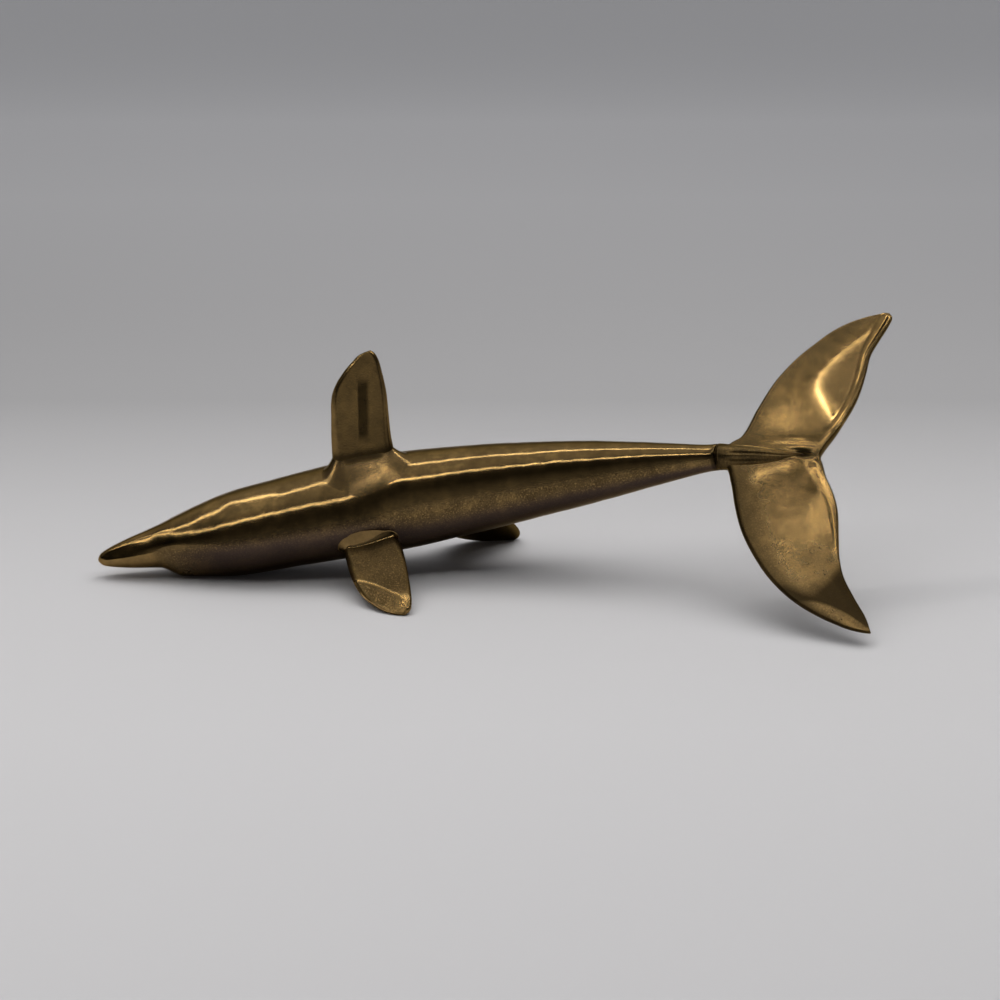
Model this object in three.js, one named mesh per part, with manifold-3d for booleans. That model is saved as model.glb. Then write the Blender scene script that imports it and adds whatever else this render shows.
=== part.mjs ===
import * as THREE from 'three';
import { mergeVertices } from 'three/addons/utils/BufferGeometryUtils.js';
import Module from 'manifold-3d';

const wasm = await Module();
wasm.setup();

// Millimetres. The animal is drawn swimming: x runs from snout to tail, y to its left, z to its belly.
// At the end it is laid on its forehead, its right pectoral fin and its dorsal fin, with +Z up.

// Spine: a bend with one handle behind the head and one at the loin
const SPINE_LENGTH = 190.5;
const NECK_LEFT = 6.3;
const NECK_BELLY = -4.5;
const LOIN_LEFT = 15.8;
const LOIN_BELLY = -21.6;

// Body girth: radius at a fraction of the spine, from the blunt snout to the tail stock
const GIRTH = [
  [0, 1.1],
  [0.01, 2.2],
  [0.04, 4],
  [0.1, 6.5],
  [0.16, 9.6],
  [0.21, 11.7],
  [0.3, 13.3],
  [0.45, 14.8],
  [0.6, 13.2],
  [0.8, 9],
  [0.92, 5.4],
  [0.97, 4],
  [1, 3.9],
];

// Forehead: a step above the beak that dies out towards the shoulders
const BROW_RISE = 2.4;
const BROW_START = 0.092;
const BROW_STEP = 0.034;
const BROW_END = 0.37;

// Chine: the soft edge of the flat filed on the belly, on its right side, from the beak back to the fins
const CHINE_BEAK_RISE = 0.06;
const CHINE_BEAK_ANGLE = THREE.MathUtils.degToRad(207);
const CHINE_BEAK_ABOVE = THREE.MathUtils.degToRad(35);
const CHINE_BEAK_BELOW = THREE.MathUtils.degToRad(50);
const CHINE_CHEST = 0.22;
const CHINE_CHEST_RISE = 0.18;
const CHINE_CHEST_ANGLE = THREE.MathUtils.degToRad(228);
const CHINE_CHEST_ABOVE = THREE.MathUtils.degToRad(60);
const CHINE_CHEST_BELOW = THREE.MathUtils.degToRad(68);
const CHINE_START = 0.04;
const CHINE_FADE = 0.4;
const CHINE_END = 0.49;

// Pectoral fins: a pair, spread from the belly line, each set and filed by hand
const PECTORAL_AT = 0.436;
const LEFT_PECTORAL_SPREAD = THREE.MathUtils.degToRad(37);
const RIGHT_PECTORAL_SPREAD = THREE.MathUtils.degToRad(71.5);
const LEFT_PECTORAL_REACH = 47.2;
const RIGHT_PECTORAL_REACH = 46;
const LEFT_PECTORAL_CANT = THREE.MathUtils.degToRad(-13);
const LEFT_PECTORAL_SWEEP = 7.9;
const RIGHT_PECTORAL_SWEEP = 5.6;
const PECTORAL_FRONT = 10.3;
const PECTORAL_BACK = 9;
const PECTORAL_ROOT_THICK = 4.4;
const PECTORAL_TIP_THICK = 2.3;

// Dorsal fin: swept back, blunt at the end that the figure rests on
const DORSAL_AT = 0.579;
const DORSAL_REACH = 37.4;
const DORSAL_SWEEP = 12;
const DORSAL_FRONT = 13;
const DORSAL_BACK = 9;
const DORSAL_HOOK = 7;
const DORSAL_ROOT_THICK = 4.6;
const DORSAL_TIP_THICK = 2.6;

// Tail flukes: two lobes bent towards the back, each with its own leading and trailing edge
const FLUKE_LIFT = THREE.MathUtils.degToRad(18.2);
const FLUKE_HALF_SPAN = 50.9;
const FLUKE_TIP_BACK = 43.5;
const FLUKE_ROOT_THICK = 5;
const FLUKE_TIP_THICK = 2.2;
const FLUKE_FLARE = 1.3;
const FLUKE_FLARE_SPAN = 10;
const LEFT_LEAD = 1.2;
const LEFT_BOW = 1.35;
const LEFT_TRAIL = [[0, 26.4], [8, 28.8], [18, 34], [32, 37.8], [44, 41.4]];
const RIGHT_LEAD = 0.1;
const RIGHT_BOW = 1.9;
const RIGHT_TRAIL = [[0, 26.4], [8, 30], [18, 32.6], [32, 33.9], [44, 39.4]];

// Keel: the tail stock running out along the middle of the flukes
const KEEL_LENGTH = 23;
const KEEL_WIDTH = 7.2;
const KEEL_HEIGHT = 8.4;
const KEEL_END = 0.8;

// Joints: dowel pins, seats and braze
const PIN_RADIUS = 1;
const PIN_DEPTH = 8;
const PIN_CLEARANCE = 0.12;
const SEAT_GAP = 0.3;
const BEAD_LEG = 3;
const BEAD_EDGE = 0.3;
const TAIL_JOINT = 0.985;
const TAIL_GROOVE = 1.5;
const TAIL_GROOVE_DEPTH = 1.4;

// Rest: depth of the flats rubbed on the three resting points, and the heading of the laid figure
const REST_FLAT = 0.4;
const HEADING = THREE.MathUtils.degToRad(-2.5);

// Fineness of the facets
const BODY_RINGS = 50;
const BODY_SIDES = 30;
const BLADE_RINGS = 14;
const BLADE_SIDES = 16;
const FLUKE_RINGS = 18;
const KEEL_RINGS = 12;
const PIN_SIDES = 16;

const BELLY = new THREE.Vector3(0, 0, 1);

const spine = new THREE.CubicBezierCurve3(
  new THREE.Vector3(0, 0, 0),
  new THREE.Vector3(SPINE_LENGTH / 3, NECK_LEFT, NECK_BELLY),
  new THREE.Vector3((SPINE_LENGTH * 2) / 3, LOIN_LEFT, LOIN_BELLY),
  new THREE.Vector3(SPINE_LENGTH, 0, 0),
);

// Value at a place between knots: a cubic whose slope at a knot is the mean of the slopes beside it
function along(knots, at) {
  const last = knots.length - 2;
  const found = knots.findIndex((knot) => knot[0] >= at);
  const i = THREE.MathUtils.clamp(found - 1, 0, found < 0 ? last : found);
  const slope = (k) => {
    const j = THREE.MathUtils.clamp(k, 0, last);
    return (knots[j + 1][1] - knots[j][1]) / (knots[j + 1][0] - knots[j][0]);
  };
  const width = knots[i + 1][0] - knots[i][0];
  const p = (at - knots[i][0]) / width;
  const start = ((slope(i - 1) + slope(i)) / 2) * width;
  const end = ((slope(i) + slope(i + 1)) / 2) * width;
  const rise = knots[i + 1][1] - knots[i][1];
  return knots[i][1] + p * (start + p * (3 * rise - 2 * start - end + p * (start + end - 2 * rise)));
}

// Axes carried along a curve: tailwards, left and belly
function axesAt(curve, u) {
  const tail = curve.getTangent(u);
  const belly = BELLY.clone().addScaledVector(tail, -BELLY.dot(tail)).normalize();
  const left = new THREE.Vector3().crossVectors(belly, tail);
  return { origin: curve.getPoint(u), tail, left, belly };
}

// Rise of the chine, as a share of the girth, at a fraction of the spine and an angle from the back
function chineRise(u, angle) {
  const { lerp, clamp, smoothstep, euclideanModulo } = THREE.MathUtils;
  const chest = smoothstep(u, BROW_START, CHINE_CHEST);
  const past = euclideanModulo(angle, 2 * Math.PI) - lerp(CHINE_BEAK_ANGLE, CHINE_CHEST_ANGLE, chest);
  const above = lerp(CHINE_BEAK_ABOVE, CHINE_CHEST_ABOVE, chest);
  const below = lerp(CHINE_BEAK_BELOW, CHINE_CHEST_BELOW, chest);
  const near = clamp(1 - Math.abs(past) / (past < 0 ? above : below), 0, 1);
  const run = smoothstep(u, 0, CHINE_START) * (1 - smoothstep(u, CHINE_FADE, CHINE_END));
  return lerp(CHINE_BEAK_RISE, CHINE_CHEST_RISE, chest) * run * near ** 2;
}

// Body radius at a fraction of the spine and an angle from the back
function bodyRadius(u, angle) {
  const rise = THREE.MathUtils.smoothstep(u, BROW_START, BROW_START + BROW_STEP);
  const fall = THREE.MathUtils.clamp((BROW_END - u) / (BROW_END - BROW_START - BROW_STEP), 0, 1);
  const backward = THREE.MathUtils.smoothstep(Math.cos(angle), -0.6, 0.6);
  return along(GIRTH, u) * (1 + chineRise(u, angle)) + BROW_RISE * rise * fall * backward;
}

// Closed skin over rings of points, with a fan at each end
function loft(rings) {
  const count = rings[0].length;
  const points = rings.flat();
  for (const ring of [rings[0], rings[rings.length - 1]]) {
    const middle = new THREE.Vector3();
    ring.forEach((point) => middle.addScaledVector(point, 1 / count));
    points.push(middle);
  }
  const index = [];
  const tip = points.length - 1;
  const bottom = (rings.length - 1) * count;
  for (let j = 0; j < count; j += 1) {
    const k = (j + 1) % count;
    index.push(tip - 1, k, j, tip, bottom + j, bottom + k);
    for (let i = 0; i < bottom; i += count) {
      index.push(i + j, i + k, i + count + j, i + k, i + count + k, i + count + j);
    }
  }
  return closed(points, index);
}

// Solid from points and the triangles between them
function closed(points, index) {
  const geometry = new THREE.BufferGeometry();
  const numbers = points.flatMap((point) => point.toArray());
  geometry.setAttribute('position', new THREE.Float32BufferAttribute(numbers, 3));
  geometry.setIndex(index);
  return solid(geometry);
}

// Solid for joins and cuts, from a closed geometry
function solid(geometry) {
  const bare = new THREE.BufferGeometry();
  bare.setAttribute('position', geometry.getAttribute('position').clone());
  bare.setIndex(geometry.getIndex());
  const welded = mergeVertices(bare, 1e-4);
  const vertProperties = new Float32Array(welded.getAttribute('position').array);
  const triVerts = new Uint32Array(welded.getIndex().array);
  return new wasm.Manifold(new wasm.Mesh({ numProp: 3, vertProperties, triVerts }));
}

// Round rod between two points
function rod(from, to, radius, sides) {
  const geometry = new THREE.CylinderGeometry(radius, radius, from.distanceTo(to), sides);
  const axis = to.clone().sub(from).normalize();
  const turn = new THREE.Quaternion().setFromUnitVectors(new THREE.Vector3(0, 1, 0), axis);
  geometry.applyQuaternion(turn);
  const middle = from.clone().lerp(to, 0.5);
  geometry.translate(middle.x, middle.y, middle.z);
  return solid(geometry);
}

// Ring of the body about a line: dorsal point first, then round by the left side
function ring({ origin, left, belly }, halfWidth, halfHeight) {
  return Array.from({ length: BODY_SIDES }, (_, j) => {
    const angle = (2 * Math.PI * j) / BODY_SIDES;
    const point = origin.clone().addScaledVector(belly, -halfHeight(angle) * Math.cos(angle));
    return point.addScaledVector(left, halfWidth(angle) * Math.sin(angle));
  });
}

// Tail joint: its axes, and the rings of the grooved neck on either side of it
const joint = axesAt(spine, TAIL_JOINT);
const stockRadius = bodyRadius(TAIL_JOINT, 0);

function beyondJoint(distance) {
  return joint.origin.clone().addScaledVector(joint.tail, distance);
}

function jointRing(distance, radius) {
  return ring({ ...joint, origin: beyondJoint(distance) }, () => radius, () => radius);
}

// Body casting: rings along the spine, closer together at the head, ending at the grooved neck
function body(grow) {
  const stockEnd = TAIL_JOINT - (1.5 * TAIL_GROOVE) / SPINE_LENGTH;
  const rings = Array.from({ length: BODY_RINGS }, (_, i) => {
    const u = stockEnd * (i / (BODY_RINGS - 1)) ** 1.5;
    const radius = (angle) => bodyRadius(u, angle) + grow;
    return ring(axesAt(spine, u), radius, radius);
  });
  rings.push(jointRing(-TAIL_GROOVE, stockRadius));
  rings.push(jointRing(-SEAT_GAP / 2, stockRadius - TAIL_GROOVE_DEPTH));
  return loft(rings);
}

// Slice of a blade: a flat oval between its leading and trailing edge
function oval(lead, trail, half) {
  const radius = Math.min(half, (trail - lead) / 2);
  const core = (trail - lead) / 2 - radius;
  return Array.from({ length: BLADE_SIDES }, (_, j) => {
    const angle = (2 * Math.PI * (j + 0.5)) / BLADE_SIDES;
    const chord = (lead + trail) / 2 + Math.sign(Math.cos(angle)) * core + radius * Math.cos(angle);
    return new THREE.Vector2(chord, radius * Math.sin(angle));
  });
}

// Fin: place on the spine, direction out of the body, outline and thickness
const fins = {
  left_pectoral: {
    at: PECTORAL_AT,
    angle: Math.PI - LEFT_PECTORAL_SPREAD,
    cant: LEFT_PECTORAL_CANT,
    reach: LEFT_PECTORAL_REACH,
    sweep: LEFT_PECTORAL_SWEEP,
    front: PECTORAL_FRONT,
    back: PECTORAL_BACK,
    hook: 0,
    rootThick: PECTORAL_ROOT_THICK,
    tipThick: PECTORAL_TIP_THICK,
  },
  right_pectoral: {
    at: PECTORAL_AT,
    angle: Math.PI + RIGHT_PECTORAL_SPREAD,
    cant: 0,
    reach: RIGHT_PECTORAL_REACH,
    sweep: RIGHT_PECTORAL_SWEEP,
    front: PECTORAL_FRONT,
    back: PECTORAL_BACK,
    hook: 0,
    rootThick: PECTORAL_ROOT_THICK,
    tipThick: PECTORAL_TIP_THICK,
  },
  dorsal: {
    at: DORSAL_AT,
    angle: 0,
    cant: 0,
    reach: DORSAL_REACH,
    sweep: DORSAL_SWEEP,
    front: DORSAL_FRONT,
    back: DORSAL_BACK,
    hook: DORSAL_HOOK,
    rootThick: DORSAL_ROOT_THICK,
    tipThick: DORSAL_TIP_THICK,
  },
};

// Axes of a fin: square to the skin, then canted about its root; the foot is the distance to the skin
function finAxes(fin) {
  const { origin, tail, left, belly } = axesAt(spine, fin.at);
  const square = belly.clone().multiplyScalar(-Math.cos(fin.angle)).addScaledVector(left, Math.sin(fin.angle));
  const out = square.clone().applyAxisAngle(tail, fin.cant);
  const across = new THREE.Vector3().crossVectors(out, tail);
  const foot = bodyRadius(fin.at, fin.angle);
  origin.addScaledVector(square, foot).addScaledVector(out, -foot);
  return { origin, tail, out, across, foot };
}

// Outline of a fin part way to its tip: elliptic leading edge, fuller trailing edge
function finSlice(fin, part, grow) {
  const lead = fin.sweep - (fin.sweep + fin.front) * Math.sqrt(1 - part ** 2);
  const fullness = (fin.back - fin.sweep + fin.hook) * Math.sqrt(1 - part ** 6);
  const trail = fin.sweep + fullness - fin.hook * (1 - part ** 1.5);
  const half = THREE.MathUtils.lerp(fin.rootThick, fin.tipThick, part) / 2;
  return oval(lead - grow, trail + grow, half + grow);
}

// Point of a fin: a place on its slice, at a distance from the spine
function finPoint({ origin, tail, out, across }, slice, distance) {
  const point = origin.clone().addScaledVector(out, distance);
  return point.addScaledVector(tail, slice.x).addScaledVector(across, slice.y);
}

// Distance from the spine to a seat above the body's skin, at a place on a fin's slice
function seatDistance(fin, slice) {
  const axes = finAxes(fin);
  let distance = axes.foot;
  let u = fin.at;
  for (let turn = 0; turn < 12; turn += 1) {
    const { origin, tail, left, belly } = axesAt(spine, u);
    const away = finPoint(axes, slice, distance).sub(origin);
    const radius = bodyRadius(u, Math.atan2(away.dot(left), -away.dot(belly)));
    distance += radius + SEAT_GAP - Math.hypot(away.dot(left), away.dot(belly));
    u += away.dot(tail) / SPINE_LENGTH;
  }
  return distance;
}

// Fin casting: slices from its seat on the body to its tip
function finBlank(fin) {
  const axes = finAxes(fin);
  const seats = finSlice(fin, 0, 0).map((slice) => seatDistance(fin, slice));
  return loft(Array.from({ length: BLADE_RINGS }, (_, i) => {
    const part = Math.sin(((i / (BLADE_RINGS - 1)) * Math.PI * 0.97) / 2);
    return finSlice(fin, part, 0).map((slice, j) => {
      return finPoint(axes, slice, THREE.MathUtils.lerp(seats[j], fin.reach, part));
    });
  }));
}

// Closed skin over loops that follow one another round a ring
function hoop(loops) {
  const count = loops[0].length;
  const index = [];
  loops.forEach((_, i) => {
    const a = i * count;
    const b = ((i + 1) % loops.length) * count;
    for (let j = 0; j < count; j += 1) {
      const k = (j + 1) % count;
      index.push(a + j, b + j, a + k, a + k, b + j, b + k);
    }
  });
  return closed(loops.flat(), index);
}

// Braze bead round a fin root: a hollow fillet with blunt edges, from the body up the fin
function bead(fin) {
  const axes = finAxes(fin);
  const inner = finSlice(fin, 0, SEAT_GAP);
  const place = (grow, height) => finSlice(fin, 0, SEAT_GAP + grow).map((slice) => {
    return { slice, distance: seatDistance(fin, slice) + height };
  });
  const swell = (height) => BEAD_LEG * (1 - Math.sqrt(1 - (1 - height / BEAD_LEG) ** 2));
  const middle = BEAD_LEG * 0.25;
  const sections = [
    place(0, 0),
    place(BEAD_LEG, 0),
    place(BEAD_LEG, BEAD_EDGE),
    place(swell(middle) + BEAD_EDGE, middle + BEAD_EDGE),
    place(BEAD_EDGE, BEAD_LEG),
    place(0, BEAD_LEG),
  ];
  return hoop(inner.map((_, j) => {
    return sections.map((section) => finPoint(axes, section[j].slice, section[j].distance));
  }));
}

// Pin through a fin seat, half in the body and half in the fin
function finPin(fin, radius, spare) {
  const { origin, tail, out, foot } = finAxes(fin);
  const base = origin.clone().addScaledVector(tail, (fin.back - fin.front) / 2);
  const inner = base.clone().addScaledVector(out, foot - PIN_DEPTH - spare);
  const outer = base.clone().addScaledVector(out, foot + PIN_DEPTH + spare);
  return rod(inner, outer, radius, PIN_SIDES);
}

// Tail: the line from the joint along the middle of the flukes
const stockEnd = axesAt(spine, 1);
const flukeBack = stockEnd.tail.clone().multiplyScalar(Math.cos(FLUKE_LIFT));
flukeBack.addScaledVector(stockEnd.belly, -Math.sin(FLUKE_LIFT));
const flukeBelly = new THREE.Vector3().crossVectors(flukeBack, stockEnd.left);
const keelStart = beyondJoint(TAIL_GROOVE);
const keelEnd = stockEnd.origin.clone().addScaledVector(flukeBack, KEEL_LENGTH);
const keelLine = new THREE.CubicBezierCurve3(
  keelStart,
  keelStart.clone().addScaledVector(joint.tail, KEEL_LENGTH / 3),
  keelEnd.clone().addScaledVector(flukeBack, -KEEL_LENGTH / 3),
  keelEnd,
);

function keel() {
  const { lerp, smoothstep } = THREE.MathUtils;
  const rings = [jointRing(SEAT_GAP / 2, stockRadius - TAIL_GROOVE_DEPTH)];
  for (let i = 0; i < KEEL_RINGS; i += 1) {
    const u = i / (KEEL_RINGS - 1);
    const swell = smoothstep(u, 0, 0.25);
    const taper = smoothstep(u, 0.15, 1);
    const width = lerp(lerp(stockRadius, KEEL_WIDTH / 2, swell), KEEL_END / 2, taper);
    const height = lerp(lerp(stockRadius, KEEL_HEIGHT / 2, swell), KEEL_END / 2, taper);
    rings.push(ring(axesAt(keelLine, u), () => width, () => height));
  }
  return loft(rings);
}

// Slice of the flukes at a distance to the left of the keel (to the right when negative)
function flukeSlice(side) {
  const leftward = side > 0;
  const span = Math.abs(side);
  const z = span / FLUKE_HALF_SPAN;
  const start = leftward ? LEFT_LEAD : RIGHT_LEAD;
  const bow = leftward ? LEFT_BOW : RIGHT_BOW;
  const trailKnots = [...(leftward ? LEFT_TRAIL : RIGHT_TRAIL), [FLUKE_HALF_SPAN, FLUKE_TIP_BACK]];
  const flare = FLUKE_FLARE * (1 - THREE.MathUtils.smoothstep(span, 0, FLUKE_FLARE_SPAN));
  const lead = start + (FLUKE_TIP_BACK - start) * (1 - Math.sqrt(1 - z ** bow)) - flare;
  const trail = along(trailKnots, span);
  const half = THREE.MathUtils.lerp(FLUKE_ROOT_THICK, FLUKE_TIP_THICK, Math.sqrt(z)) / 2;
  const middle = stockEnd.origin.clone().addScaledVector(stockEnd.left, side);
  return oval(Math.min(lead, trail - 0.2), trail, half).map((slice) => {
    return middle.clone().addScaledVector(flukeBack, slice.x).addScaledVector(flukeBelly, -slice.y);
  });
}

function flukes() {
  return loft(Array.from({ length: 2 * FLUKE_RINGS + 1 }, (_, i) => {
    const turn = ((i / FLUKE_RINGS - 1) * Math.PI * 0.97) / 2;
    return flukeSlice(FLUKE_HALF_SPAN * Math.sin(turn));
  }));
}

// Tail braze: a ring filling the groove between stock and keel, flush with both
function tailBraze() {
  const half = TAIL_GROOVE - SEAT_GAP;
  const floor = stockRadius - TAIL_GROOVE_DEPTH + SEAT_GAP;
  const profile = [
    new THREE.Vector2(stockRadius, -half),
    new THREE.Vector2(stockRadius, half),
    new THREE.Vector2(floor, SEAT_GAP / 2),
    new THREE.Vector2(floor, -SEAT_GAP / 2),
    new THREE.Vector2(stockRadius, -half),
  ];
  const hoopShape = new THREE.LatheGeometry(profile, BODY_SIDES);
  hoopShape.applyMatrix4(new THREE.Matrix4().makeBasis(joint.left, joint.tail, joint.belly.clone().negate()));
  hoopShape.translate(joint.origin.x, joint.origin.y, joint.origin.z);
  return solid(hoopShape);
}

function tailPin(radius, spare) {
  return rod(beyondJoint(-PIN_DEPTH - spare), beyondJoint(PIN_DEPTH + spare), radius, PIN_SIDES);
}

// Pieces, cut to fit one another
const pieces = { body_casting: body(0), tail_flukes: keel().add(flukes()) };
const seatCut = body(SEAT_GAP);
const beadCut = body(SEAT_GAP / 2);
const bore = PIN_RADIUS + PIN_CLEARANCE;
for (const [name, fin] of Object.entries(fins)) {
  const hole = finPin(fin, bore, PIN_CLEARANCE);
  pieces.body_casting = pieces.body_casting.subtract(hole);
  pieces[`${name}_fin`] = finBlank(fin).subtract(seatCut).subtract(hole);
  pieces[`${name}_braze`] = bead(fin).subtract(beadCut);
  pieces[`${name}_pin`] = finPin(fin, PIN_RADIUS, 0);
}
const tailHole = tailPin(bore, PIN_CLEARANCE);
pieces.body_casting = pieces.body_casting.subtract(tailHole);
pieces.tail_flukes = pieces.tail_flukes.subtract(tailHole);
pieces.tail_braze = tailBraze();
pieces.tail_pin = tailPin(PIN_RADIUS, 0);

// Lowest point of a piece, seen along the upward direction
function lowest(piece, up) {
  const points = piece.getMesh().vertProperties;
  const best = new THREE.Vector3();
  const point = new THREE.Vector3();
  let depth = Infinity;
  for (let i = 0; i < points.length; i += 3) {
    point.fromArray(points, i);
    if (point.dot(up) < depth) {
      depth = point.dot(up);
      best.copy(point);
    }
  }
  return best;
}

// Laying down: the upward direction is square to the plane of the three resting points
const resting = ['body_casting', 'right_pectoral_fin', 'dorsal_fin'];
const up = new THREE.Vector3(0.2, 0.7, 0.7).normalize();
const plane = new THREE.Plane();
for (let turn = 0; turn < 30; turn += 1) {
  plane.setFromCoplanarPoints(...resting.map((name) => lowest(pieces[name], up)));
  up.copy(plane.normal).multiplyScalar(Math.sign(plane.normal.dot(up)));
}
const ahead = new THREE.Vector3(1, 0, 0).addScaledVector(up, -up.x).normalize();
const aside = new THREE.Vector3().crossVectors(up, ahead);
const laid = new THREE.Matrix4().makeBasis(ahead, aside, up).transpose();
laid.premultiply(new THREE.Matrix4().makeRotationZ(HEADING));
const floor = lowest(pieces.body_casting, up).dot(up) + REST_FLAT;

// Flats on the resting points, cut by a block under the floor
const under = new THREE.BoxGeometry(3 * SPINE_LENGTH, 3 * SPINE_LENGTH, SPINE_LENGTH);
under.translate(0, 0, floor - SPINE_LENGTH / 2);
under.applyMatrix4(laid.clone().invert());
for (const name of resting) {
  pieces[name] = pieces[name].subtract(solid(under));
}

// Figure: one mesh for each piece
const colours = { casting: 0x8c6a3e, braze: 0x9a7a48, pin: 0xa58a5a };
const figure = new THREE.Group();
for (const [name, piece] of Object.entries(pieces)) {
  const { vertProperties, triVerts } = piece.getMesh();
  const geometry = new THREE.BufferGeometry();
  geometry.setAttribute('position', new THREE.BufferAttribute(new Float32Array(vertProperties), 3));
  geometry.setIndex(new THREE.BufferAttribute(new Uint32Array(triVerts), 1));
  geometry.computeVertexNormals();
  const kind = ['braze', 'pin'].find((ending) => name.endsWith(ending)) ?? 'casting';
  const finish = { color: colours[kind], metalness: 1, roughness: 0.35 };
  const mesh = new THREE.Mesh(geometry, new THREE.MeshStandardMaterial(finish));
  mesh.name = name;
  figure.add(mesh);
}
figure.applyMatrix4(laid);
figure.updateMatrixWorld(true);
const box = new THREE.Box3().setFromObject(figure, true);
const centre = box.getCenter(new THREE.Vector3());
figure.position.set(-centre.x, -centre.y, -floor);

const dolphin = new THREE.Group();
dolphin.name = 'dolphin_figurine';
dolphin.add(figure);

export default dolphin;
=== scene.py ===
import bpy
import numpy as np
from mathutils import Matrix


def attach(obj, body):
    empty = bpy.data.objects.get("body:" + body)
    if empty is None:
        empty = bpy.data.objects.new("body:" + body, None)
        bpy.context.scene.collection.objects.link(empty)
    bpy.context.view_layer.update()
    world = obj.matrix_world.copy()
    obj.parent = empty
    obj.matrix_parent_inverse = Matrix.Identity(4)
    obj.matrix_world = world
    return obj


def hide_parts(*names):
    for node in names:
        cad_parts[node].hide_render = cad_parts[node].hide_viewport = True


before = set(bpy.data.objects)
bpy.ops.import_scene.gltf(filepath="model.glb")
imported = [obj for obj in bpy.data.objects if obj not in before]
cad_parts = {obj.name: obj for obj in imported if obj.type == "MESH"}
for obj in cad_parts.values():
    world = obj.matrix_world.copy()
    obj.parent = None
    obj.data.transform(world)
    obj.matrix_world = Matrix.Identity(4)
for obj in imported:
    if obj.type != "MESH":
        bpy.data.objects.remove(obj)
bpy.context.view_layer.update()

# ---- Body casting ------------------------------------------------------------------------------------
# Head, barrel and tail stock are one solid sand casting in brass, filed and buffed by hand.
# The top stays a little wavy from the file, the flanks keep the grain of the sand.
# The figure is drawn swimming, in millimetres: x from snout to tail, y to its left, z to its belly.

MILLIMETRE = 0.001
SPINE_LENGTH = 190.5
SPINE_HANDLES = np.array([
    [0, 0, 0],
    [SPINE_LENGTH / 3, 6.3, -4.5],
    [SPINE_LENGTH * 2 / 3, 15.8, -21.6],
    [SPINE_LENGTH, 0, 0],
])
GIRTH = [[0, 1.1], [0.01, 2.2], [0.04, 4], [0.1, 6.5], [0.16, 9.6], [0.21, 11.7], [0.3, 13.3],
         [0.45, 14.8], [0.6, 13.2], [0.8, 9], [0.92, 5.4], [0.97, 4], [1, 3.9]]
BROW_RISE, BROW_START, BROW_STEP, BROW_END = 2.4, 0.092, 0.034, 0.37
# Chine at the beak and at the chest: rise as a share of the girth, angle from the back, reach above and below
CHINE_RISE = (0.06, 0.18)
CHINE_ANGLE = np.radians((207, 228))
CHINE_ABOVE = np.radians((35, 60))
CHINE_BELOW = np.radians((50, 68))
CHINE_CHEST, CHINE_START, CHINE_FADE, CHINE_END, CHINE_SOFT = 0.22, 0.04, 0.4, 0.49, 0.12
SNOUT_ROUND = 1.3
TAIL_JOINT = 0.985
JOINT_SHOULDER = 1.0
BODY_ROWS, BODY_COLUMNS, SHOULDER_ROWS = 400, 200, 9


def ease(value, low, high):
    """Smooth step: 0 below low, 1 above high, and 3q^2 - 2q^3 of the share q between them."""
    share = np.clip((value - low) / (high - low), 0, 1)
    return share * share * (3 - 2 * share)


def between(value, start, full, fade, end):
    """Smooth step up from start to full, times a smooth step down from fade to end."""
    return ease(value, start, full) * (1 - ease(value, fade, end))


def bell(distance, width):
    """Bell of height 1: e to the minus square of distance over width."""
    return np.exp(-((distance / width) ** 2))


def along(knots, at):
    """Cubic through knots, held at both ends: the slope at a knot is the mean of those on its two sides."""
    place, value = np.array(knots, float).T
    at = np.clip(at, place[0], place[-1])
    secant = np.diff(value) / np.diff(place)
    slope = np.concatenate([secant[:1], (secant[1:] + secant[:-1]) / 2, secant[-1:]])
    i = np.clip(np.searchsorted(place, at) - 1, 0, len(place) - 2)
    width = place[i + 1] - place[i]
    share = (at - place[i]) / width
    start, end, rise = slope[i] * width, slope[i + 1] * width, value[i + 1] - value[i]
    bend = 3 * rise - 2 * start - end + share * (start + end - 2 * rise)
    return value[i] + share * (start + share * bend)


def unit(vectors):
    """Vectors divided by their lengths."""
    return vectors / np.linalg.norm(vectors, axis=-1, keepdims=True)


def bezier(handles, u):
    """Cubic Bezier point: the four handles weighed by v^3, 3uv^2, 3u^2v and u^3, where v is 1 - u."""
    a, b, c, d = handles
    v = 1 - u
    return v**3 * a + 3 * u * v**2 * b + 3 * u**2 * v * c + u**3 * d


def carried_axes(handles, u):
    """Cubic Bezier point at u, its unit tangent towards the tail, left = belly x tangent, and the belly
    direction made square to the tangent."""
    a, b, c, d = handles
    u = np.asarray(u, float)[..., None]
    v = 1 - u
    tail = unit(v**2 * (b - a) + 2 * u * v * (c - b) + u**2 * (d - c))
    belly = unit(np.array([0, 0, 1.0]) - tail * tail[..., 2:])
    return bezier(handles, u), tail, np.cross(belly, tail), belly


def spokes(left, belly, angle):
    """Directions out of the spine at an angle from the back, round by the left: left times its sine less
    belly times its cosine."""
    return left * np.sin(angle)[..., None] - belly * np.cos(angle)[..., None]


def chine(u, angle):
    """Soft edge of the flat filed on the belly: the square of the nearness to a line from beak to fin."""
    chest = ease(u, BROW_START, CHINE_CHEST)
    rise, line, above, below = (beak + (full - beak) * chest for beak, full in
                                (CHINE_RISE, CHINE_ANGLE, CHINE_ABOVE, CHINE_BELOW))
    past = angle - line
    soft = np.sqrt(past**2 + CHINE_SOFT**2) - CHINE_SOFT
    near = np.clip(1 - soft / np.where(past < 0, above, below), 0, 1)
    return rise * near**2 * between(u, 0, CHINE_START, CHINE_FADE, CHINE_END)


def bare_radius(u, angle):
    """Girth at u with the chine, plus the brow: a step that rises at the beak, falls off and sits on the
    back."""
    fall = np.clip((BROW_END - u) / (BROW_END - BROW_START - BROW_STEP), 0, 1)
    brow = ease(u, BROW_START, BROW_START + BROW_STEP) * fall * ease(np.cos(angle), -0.6, 0.6)
    return along(GIRTH, u) * (1 + chine(u, angle)) + BROW_RISE * brow


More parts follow.
